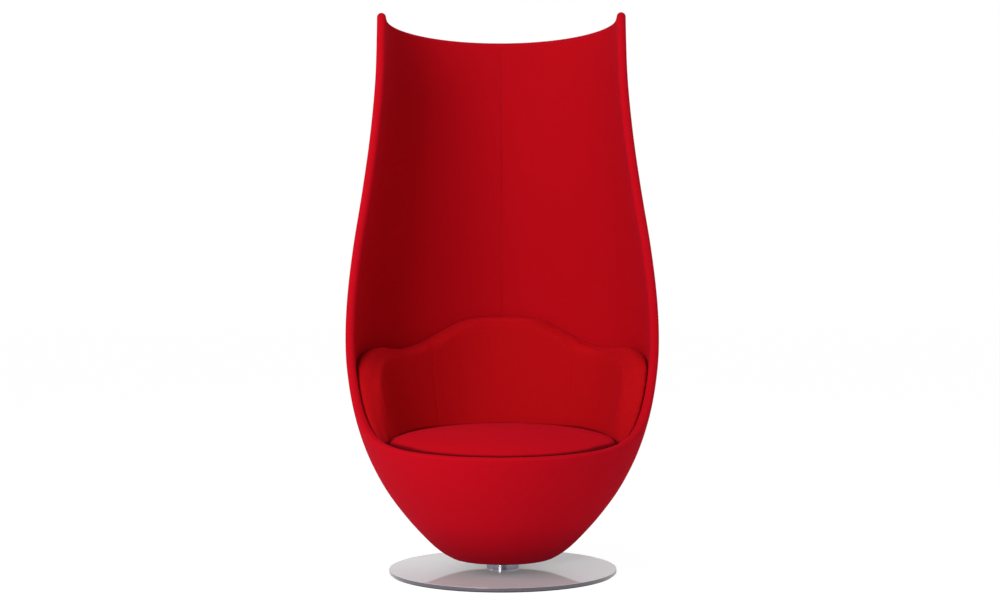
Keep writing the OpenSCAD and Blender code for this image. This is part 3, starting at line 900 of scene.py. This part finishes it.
# The floor: a wide pale sheet that runs off into a white room. Seen by the camera it is white,
# and keeps only a trace of the chair's shadow.
def sees_white(tree, *kinds):
    """1 for a ray of these kinds that hasn't bounced off anything matt yet, 0 for any other."""
    rays = add(tree, "ShaderNodeLightPath")
    seen = rays[kinds[0]]
    for kind in kinds[1:]:
        seen = add(tree, "ShaderNodeMath", {0: seen, 1: rays[kind]}, operation="MAXIMUM")[0]
    first = add(tree, "ShaderNodeMath", {0: rays["Diffuse Depth"], 1: 0.5}, operation="LESS_THAN")
    return add(tree, "ShaderNodeMath", {0: seen, 1: first[0]}, operation="MULTIPLY")[0]


select_none()
bpy.ops.mesh.primitive_plane_add(size=60, location=(0, 20, 0))
floor = bpy.context.object
floor.name = "studio_floor"
sheet = bpy.data.materials.new("white_studio_floor")
sheet.use_nodes = True
tree = sheet.node_tree
shader = tree.nodes["Principled BSDF"]
shader.inputs["Base Color"].default_value = colour("#f4f4f4")
shader.inputs["Roughness"].default_value = 0.9
seen = sees_white(tree, "Is Camera Ray", "Is Glossy Ray")
share = add(tree, "ShaderNodeMath", {0: seen, 1: 0.85}, operation="MULTIPLY")
glow = add(tree, "ShaderNodeEmission", {"Color": (1, 1, 1, 1), "Strength": 1.12})
blend = add(tree, "ShaderNodeMixShader", {0: share[0], 1: shader.outputs[0], 2: glow[0]})
tree.links.new(blend[0], tree.nodes["Material Output"].inputs["Surface"])
floor.data.materials.append(sheet)

# The light: a large soft box high on the left and in front, a smaller one lower down, weak ones on
# either side, and the pale room itself. The camera, and the steel, see the room white.
room = bpy.data.worlds.new("pale_room")
bpy.context.scene.world = room
room.use_nodes = True
tree = room.node_tree
tree.nodes.clear()
seen = sees_white(tree, "Is Camera Ray", "Is Glossy Ray", "Is Transmission Ray")
dim = add(tree, "ShaderNodeBackground", {"Color": (1, 1, 1, 1), "Strength": 0.24})
white = add(tree, "ShaderNodeBackground", {"Color": (1, 1, 1, 1), "Strength": 1.0})
blend = add(tree, "ShaderNodeMixShader", {0: seen, 1: dim[0], 2: white[0]})
add(tree, "ShaderNodeOutputWorld", {"Surface": blend[0]})


chair_middle = Vector((0, 0, 0.85))


def soft_box(name, place, size, watts):
    """A rectangular lamp that looks at the middle of the chair."""
    bpy.ops.object.light_add(type="AREA", location=place)
    lamp = bpy.context.object
    lamp.name = name
    lamp.data.shape = "RECTANGLE"
    lamp.data.size, lamp.data.size_y = size
    lamp.data.energy = watts
    lamp.rotation_euler = (chair_middle - Vector(place)).to_track_quat("-Z", "Y").to_euler()


soft_box("key_box", (-2.212, -3.159, 3.168), size=(2.0, 3.0), watts=108)
soft_box("front_box", (-2.051, -5.635, 1.059), size=(1.4, 1.4), watts=75)
soft_box("side_box", (3.805, -0.671, 1.885), size=(2.0, 2.0), watts=30)
soft_box("left_box", (-3.939, 0.0, 1.545), size=(2.0, 2.0), watts=20)

# A dark cloth hangs behind the camera, as in a studio, and casts no shadow on anything.
# Only the bright steel shows it.
select_none()
bpy.ops.mesh.primitive_plane_add(size=1, location=(0, -7.0, 0.9), rotation=(math.radians(90), 0, 0))
cloth = bpy.context.object
cloth.name = "dark_studio_cloth"
cloth.scale = (7.0, 2.6, 1.0)
bpy.ops.object.transform_apply(location=True, rotation=True, scale=True)
dark = bpy.data.materials.new("dark_cloth")
dark.use_nodes = True
dark.node_tree.nodes["Principled BSDF"].inputs["Base Color"].default_value = colour("#20222a")
dark.node_tree.nodes["Principled BSDF"].inputs["Roughness"].default_value = 1.0
cloth.data.materials.append(dark)
cloth.visible_camera = False
cloth.visible_diffuse = False
cloth.visible_shadow = False
